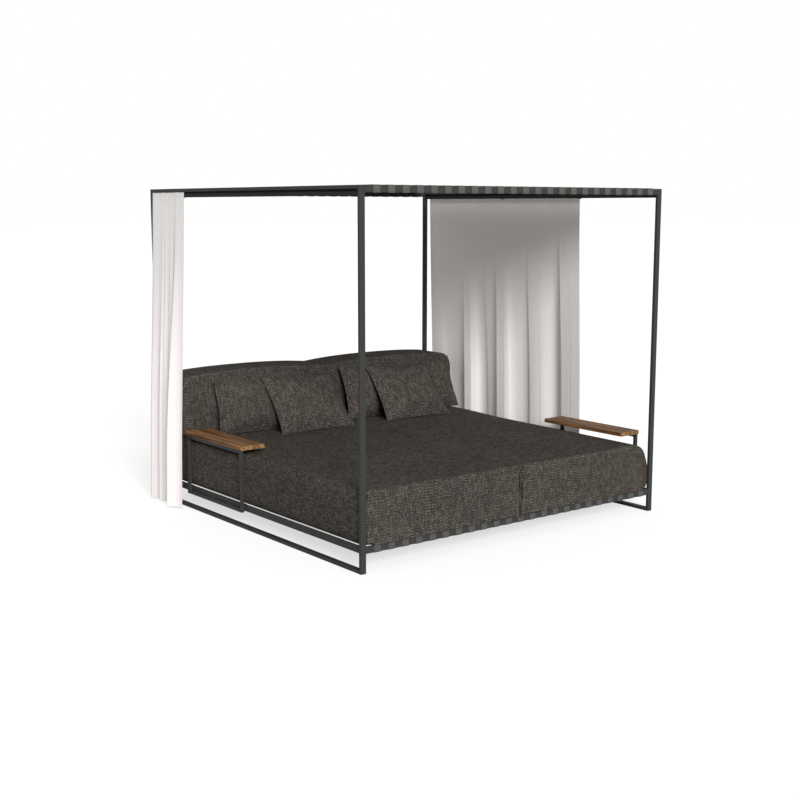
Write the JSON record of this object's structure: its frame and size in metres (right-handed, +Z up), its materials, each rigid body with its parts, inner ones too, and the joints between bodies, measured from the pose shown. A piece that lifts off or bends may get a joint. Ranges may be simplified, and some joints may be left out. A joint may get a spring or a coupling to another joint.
{
  "type": "outdoor daybed with canopy",
  "caption": "Outdoor daybed with a canopy frame of slim tube, belted base and roof, box mattress, back cushions, pillows, teak side shelves that slide and curtains that draw.",
  "frame": {"origin": "middle of the footprint, on the floor", "axes": "+X to the right seen from the front, +Y to the back (the back cushions), +Z up"},
  "size_m": [2.6184, 2.3842, 2.1032],
  "materials": {
    "frame_metal": "powder coated, matt graphite",
    "belt_webbing": "woven outdoor belt, grey green",
    "canopy_cloth": "tight dark mesh cloth",
    "cushion_fabric": "coarse woven dark brown grey fabric",
    "teak": "oiled teak",
    "curtain_cloth": "light woven off-white cloth",
    "glider_plastic": "black moulded plastic"
  },
  "bodies": {
    "frame": {"post_front_left": "frame_metal", "post_front_right": "frame_metal", "post_rear_left": "frame_metal", "post_rear_right": "frame_metal", "floor_rail_left": "frame_metal", "floor_rail_right": "frame_metal", "base_side_rail_left": "frame_metal", "base_side_rail_right": "frame_metal", "base_rail_rear": "frame_metal", "top_side_rail_left": "frame_metal", "top_side_rail_right": "frame_metal", "curtain_track_left": "frame_metal", "curtain_track_right": "frame_metal", "top_rail_front": "frame_metal", "top_rail_rear": "frame_metal", "back_rail": "frame_metal", "base_rail_front_with_belts": "belt_webbing", "roof_belt_01": "belt_webbing", "roof_belt_02": "belt_webbing", "roof_belt_03": "belt_webbing", "roof_belt_04": "belt_webbing", "roof_belt_05": "belt_webbing", "roof_belt_06": "belt_webbing", "roof_belt_07": "belt_webbing", "roof_belt_08": "belt_webbing", "roof_belt_09": "belt_webbing", "roof_belt_10": "belt_webbing", "roof_belt_11": "belt_webbing", "roof_belt_12": "belt_webbing", "roof_belt_13": "belt_webbing", "roof_belt_14": "belt_webbing", "roof_belt_15": "belt_webbing", "roof_belt_16": "belt_webbing", "roof_belt_17": "belt_webbing", "roof_belt_18": "belt_webbing", "roof_belt_19": "belt_webbing", "roof_belt_20": "belt_webbing", "roof_belt_21": "belt_webbing", "roof_belt_22": "belt_webbing", "roof_belt_23": "belt_webbing", "canopy_cloth": "canopy_cloth", "mattress_left": "cushion_fabric", "mattress_right": "cushion_fabric", "back_cushion_left": "cushion_fabric", "back_cushion_right": "cushion_fabric", "pillow_back_left": "cushion_fabric", "pillow_back_middle": "cushion_fabric", "pillow_back_right": "cushion_fabric", "pillow_front_left": "cushion_fabric", "pillow_front_right": "cushion_fabric", "curtain_left": "curtain_cloth", "curtain_right": "curtain_cloth"},
    "shelf_left": {"shelf_board_left": "teak", "shelf_bracket_left": "frame_metal"},
    "shelf_right": {"shelf_board_right": "teak", "shelf_bracket_right": "frame_metal"},
    "curtain_lead_left": {"curtain_glider_lead_left": "glider_plastic"},
    "curtain_middle_left": {"curtain_glider_middle_left": "glider_plastic"},
    "curtain_lead_right": {"curtain_glider_lead_right": "glider_plastic"},
    "curtain_middle_right": {"curtain_glider_middle_right": "glider_plastic"}
  },
  "joints": [
    {"name": "shelf_left_slide", "type": "slide", "parent": "frame", "child": "shelf_left", "axis": [0, 1, 0], "range_m": [-1.22, 0.07]},
    {"name": "shelf_right_slide", "type": "slide", "parent": "frame", "child": "shelf_right", "axis": [0, 1, 0], "range_m": [-0.11, 0.95]},
    {"name": "curtain_left_draw", "type": "slide", "parent": "frame", "child": "curtain_lead_left", "axis": [0, -1, 0], "range_m": [0, 1.88], "deforming": ["curtain_left"]},
    {"name": "curtain_left_middle", "type": "slide", "parent": "frame", "child": "curtain_middle_left", "axis": [0, -1, 0], "range_m": [0, 0.94]},
    {"name": "curtain_right_draw", "type": "slide", "parent": "frame", "child": "curtain_lead_right", "axis": [0, -1, 0], "range_m": [-0.95, 0.62], "deforming": ["curtain_right"]},
    {"name": "curtain_right_middle", "type": "slide", "parent": "frame", "child": "curtain_middle_right", "axis": [0, -1, 0], "range_m": [-0.475, 0.31]}
  ],
  "couplings": [
    {"joint": "curtain_left_middle", "follows": "curtain_left_draw", "ratio": 0.5},
    {"joint": "curtain_right_middle", "follows": "curtain_right_draw", "ratio": 0.5}
  ]
}
